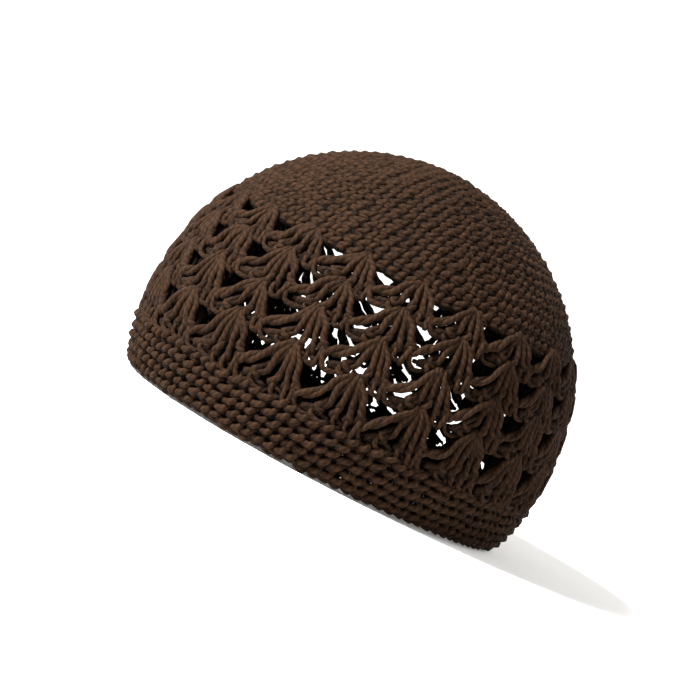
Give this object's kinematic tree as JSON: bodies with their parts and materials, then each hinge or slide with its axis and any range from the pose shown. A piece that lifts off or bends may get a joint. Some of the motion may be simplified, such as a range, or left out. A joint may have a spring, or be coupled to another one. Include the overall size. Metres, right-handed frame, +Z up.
{
  "type": "crocheted kufi",
  "caption": "Round brimless crocheted cap with a closed crown, an openwork side of shell stitches and a ribbed rim band, open below for the head.",
  "frame": {"origin": "centre of the rim's edge, on the surface that the cap stands on", "axes": "+Z up along the axis of the dome, -Y towards the side seen in the picture, +X to that view's right"},
  "size_m": [0.1899, 0.19, 0.136],
  "materials": {
    "yarn": "matt dark brown crochet cotton with a soft low sheen"
  },
  "bodies": {
    "root": {"crown": "yarn", "openwork_side": "yarn", "rim_band": "yarn"}
  },
  "joints": []
}
